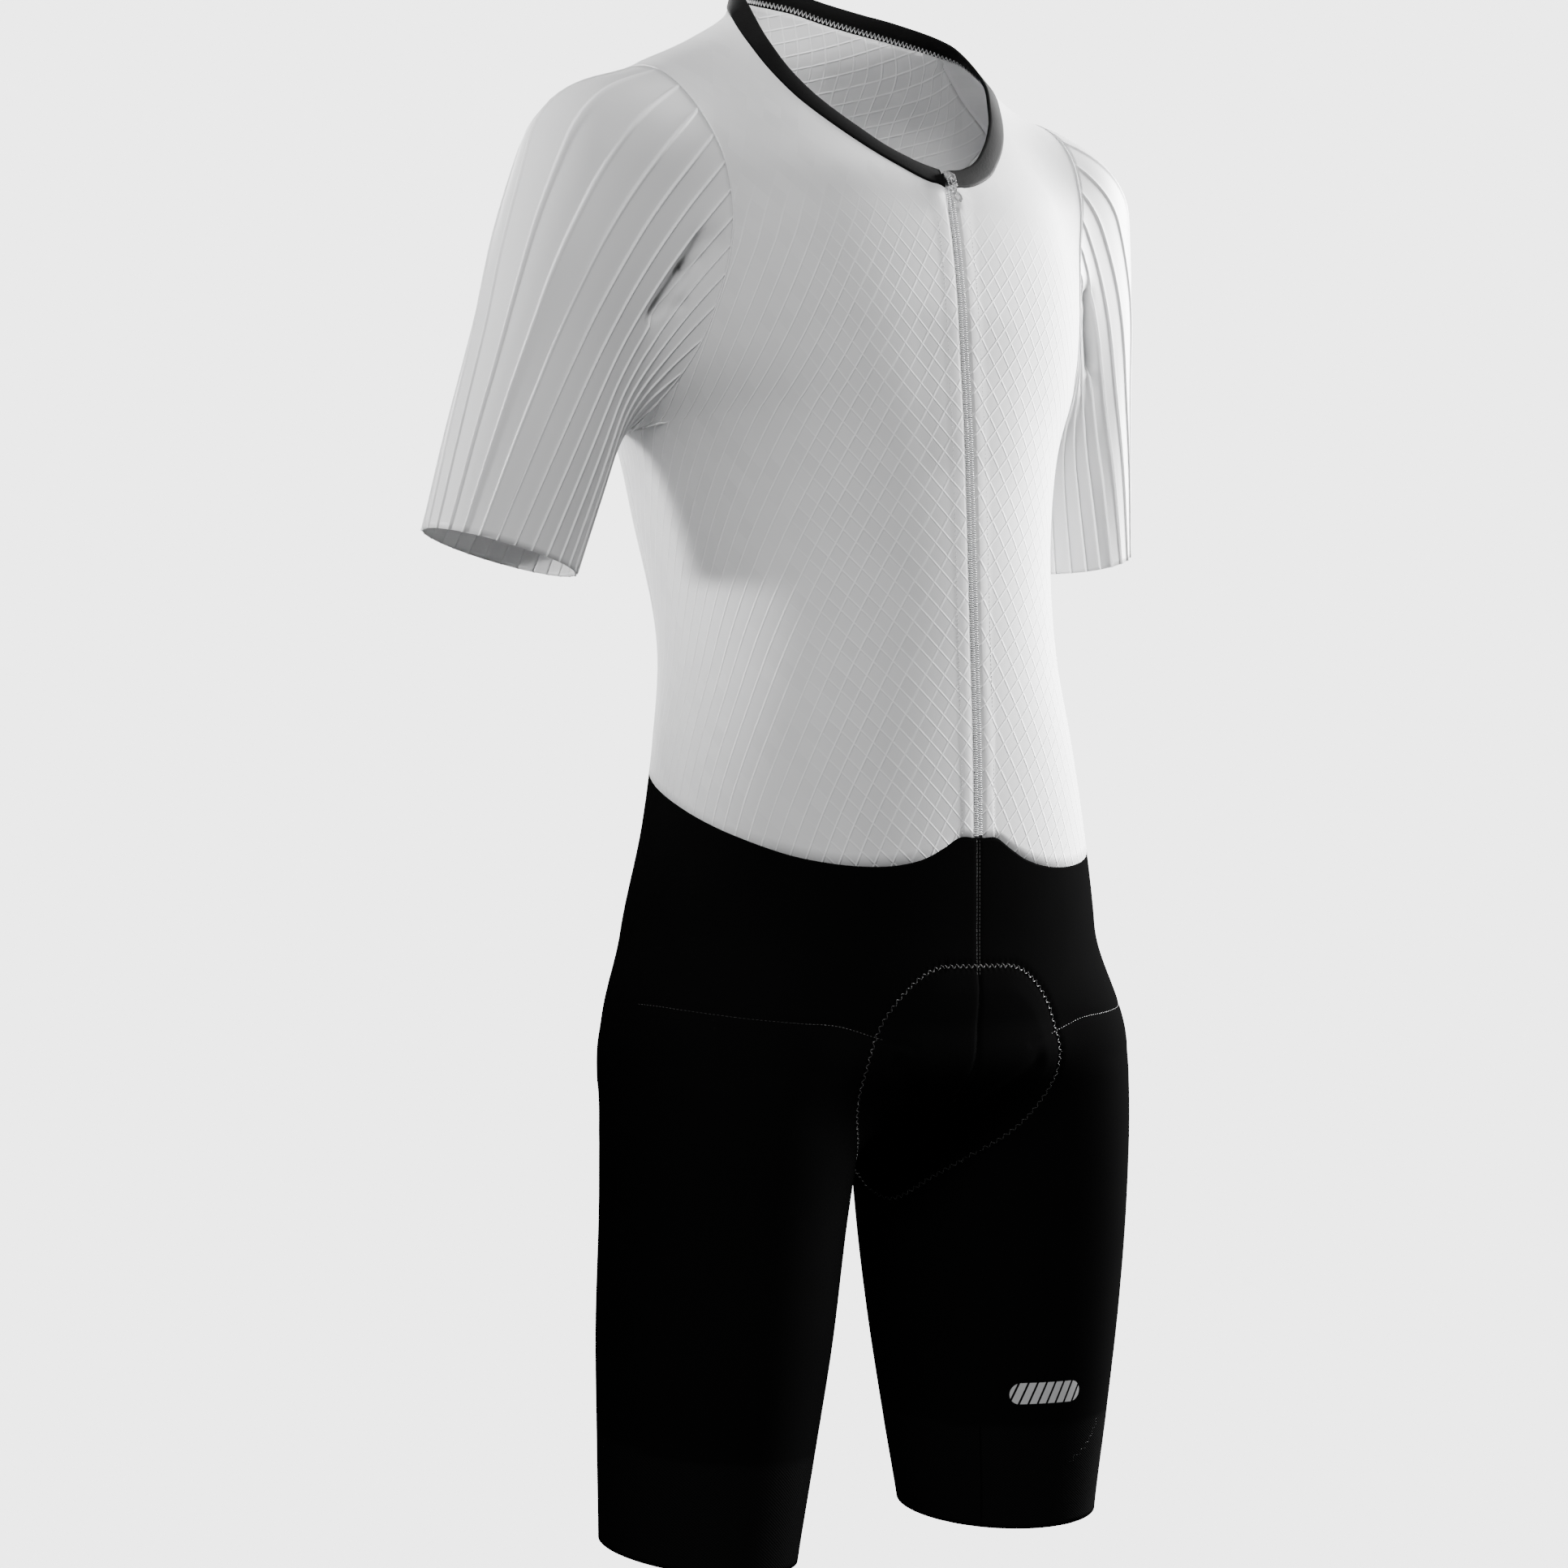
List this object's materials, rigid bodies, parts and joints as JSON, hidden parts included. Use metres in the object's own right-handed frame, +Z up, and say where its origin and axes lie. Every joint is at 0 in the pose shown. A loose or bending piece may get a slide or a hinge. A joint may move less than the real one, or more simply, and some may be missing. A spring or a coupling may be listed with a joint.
{
  "type": "cycling skinsuit",
  "caption": "Close-fitting one-piece cycling skinsuit in its worn shape: zipped front, ribbed short sleeves, collar band, black shorts with grippers and a seat pad.",
  "frame": {"origin": "between the shoulders, level with the neckline at the side of the neck, where the wearer's shoulders hold the suit up", "axes": "+Z up, -Y towards the zipped front, +X towards the wearer's left"},
  "size_m": [0.5358, 0.2318, 0.9246],
  "materials": {
    "sheer_knit": "thin white stretch knit with a raised grid",
    "ribbed_knit": "white woven stretch cloth with narrow raised ribs",
    "black_knit": "dense black stretch knit, soft sheen",
    "binding": "folded black elastic binding",
    "pad": "brushed black pad fabric over foam",
    "zip_tape": "white woven tape",
    "zip_coil": "white nylon coil",
    "zip_metal": "polished nickel"
  },
  "bodies": {
    "suit": {"front_left": "sheer_knit", "front_right": "sheer_knit", "back": "sheer_knit", "sleeve_left": "ribbed_knit", "sleeve_right": "ribbed_knit", "collar": "binding", "shorts_left": "black_knit", "shorts_right": "black_knit", "seat_pad": "pad", "zip_tape_left": "zip_tape", "zip_tape_right": "zip_tape", "zip_coil": "zip_coil", "zip_slider": "zip_metal"},
    "pull": {"zip_pull": "zip_metal"}
  },
  "joints": [
    {"name": "pull_hinge", "type": "hinge", "parent": "suit", "child": "pull", "pos_m": [0, -0.07961, -0.11079], "axis": [-1, 0, 0], "range_deg": [0, 150]}
  ]
}
